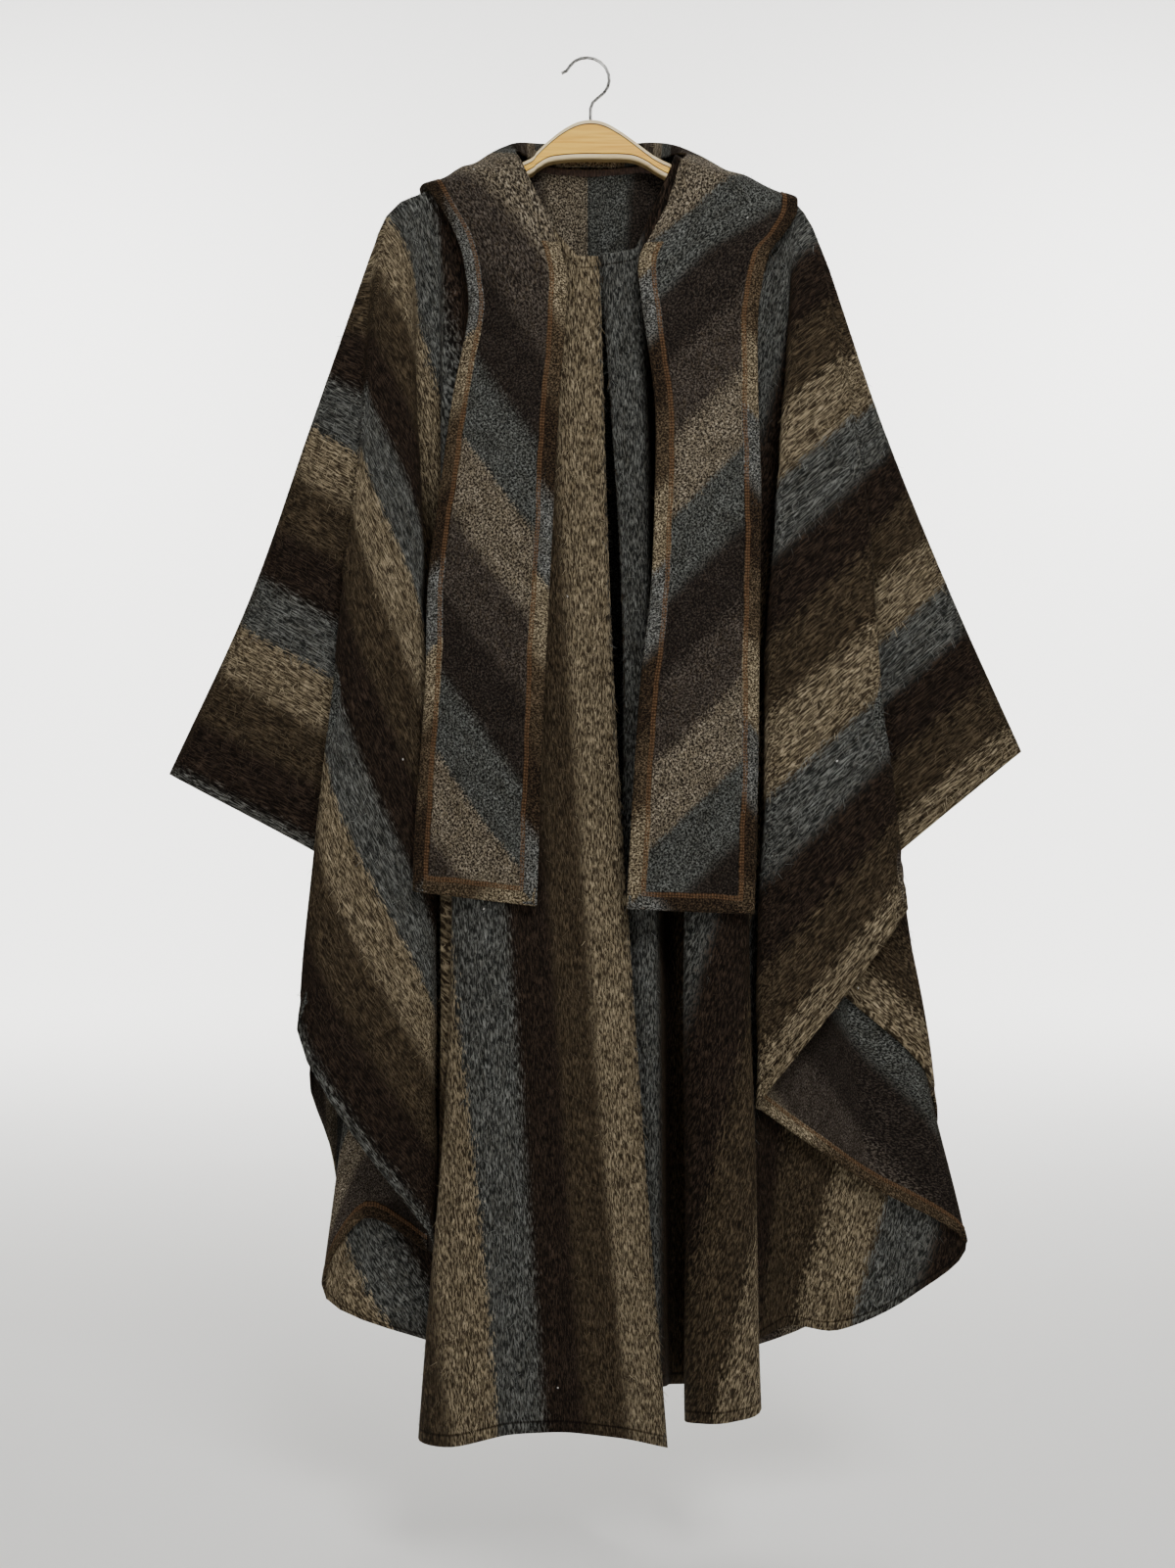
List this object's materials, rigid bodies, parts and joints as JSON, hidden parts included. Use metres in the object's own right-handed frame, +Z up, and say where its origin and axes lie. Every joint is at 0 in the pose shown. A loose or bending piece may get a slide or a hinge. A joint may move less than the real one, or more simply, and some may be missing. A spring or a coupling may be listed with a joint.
{
  "type": "hooded ruana poncho on a wooden hanger",
  "caption": "Long hooded ruana poncho of brushed wool in dark brown, taupe and grey stripes, hanging on a wooden hanger.",
  "frame": {"origin": "held point under the top arc of the hanger's hook", "axes": "+Z up, the front faces -Y, +X to the viewer's right"},
  "size_m": [0.8494, 0.2469, 1.3667],
  "materials": {
    "wool": "brushed wool, matt, long nap",
    "wool_inside": "woven wool, matt",
    "wood": "varnished, satin",
    "steel": "bright wire"
  },
  "bodies": {
    "root": {"body_left": "wool", "body_right": "wool", "hood_left": "wool_inside", "hood_right": "wool_inside", "hanger_bar": "wood", "hanger_hook": "steel"}
  },
  "joints": []
}
